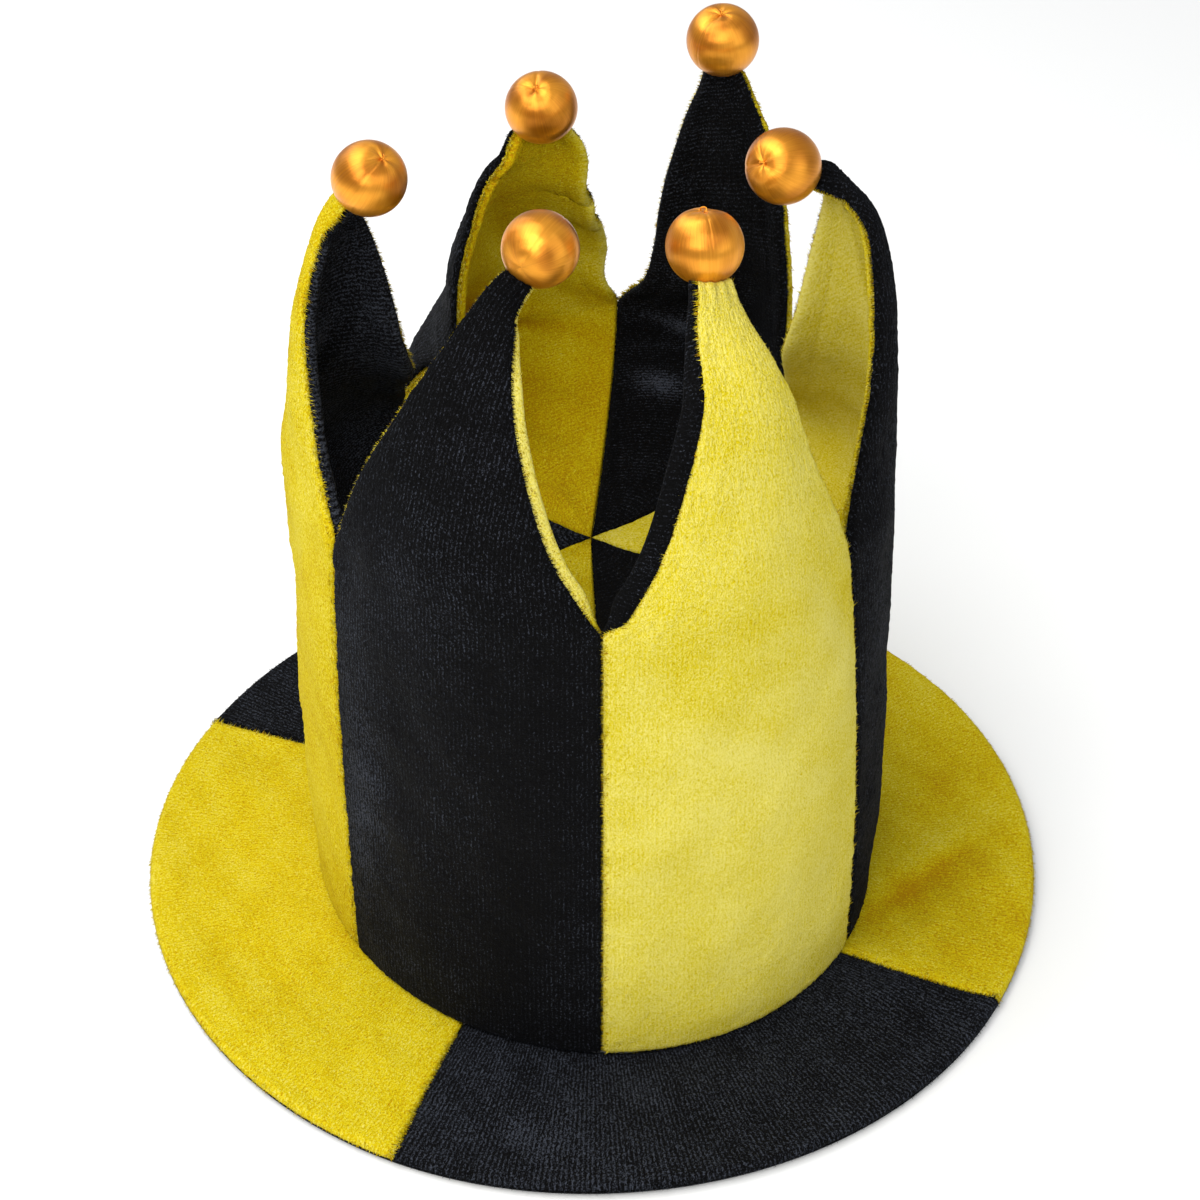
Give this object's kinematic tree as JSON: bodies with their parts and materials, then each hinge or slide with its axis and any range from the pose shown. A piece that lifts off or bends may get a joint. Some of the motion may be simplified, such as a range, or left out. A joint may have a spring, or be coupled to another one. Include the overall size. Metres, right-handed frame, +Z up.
{
  "type": "jester hat",
  "caption": "Black and yellow plush jester hat: panelled crown with curled leaf-shaped points, a padded lining cup between them, a wrapped ball on each tip and a flat round brim.",
  "frame": {"origin": "middle of the hat on the surface that the brim rests on", "axes": "+Z up through the crown, -Y towards the front of the hat, +X to the right as seen from the front"},
  "size_m": [0.31, 0.31, 0.2942],
  "materials": {
    "black_plush": "short pile plush, matt with a faint bluish nap",
    "yellow_plush": "short pile plush, soft mustard nap",
    "gold_thread": "satin thread wound from pole to pole"
  },
  "bodies": {
    "root": {"brim_underside": "black_plush", "brim_top_left": "yellow_plush", "brim_top_front": "black_plush", "brim_top_right": "yellow_plush", "brim_top_back": "black_plush", "crown_panel_front_left": "black_plush", "crown_panel_front_right": "yellow_plush", "crown_panel_right": "black_plush", "crown_panel_back_right": "yellow_plush", "crown_panel_back_left": "black_plush", "crown_panel_left": "yellow_plush", "lining_gore_front_left": "yellow_plush", "lining_gore_front_right": "black_plush", "lining_gore_right": "yellow_plush", "lining_gore_back_right": "black_plush", "lining_gore_back_left": "yellow_plush", "lining_gore_left": "black_plush", "ball_front_left": "gold_thread", "ball_front_right": "gold_thread", "ball_right": "gold_thread", "ball_back_right": "gold_thread", "ball_back_left": "gold_thread", "ball_left": "gold_thread"}
  },
  "joints": []
}
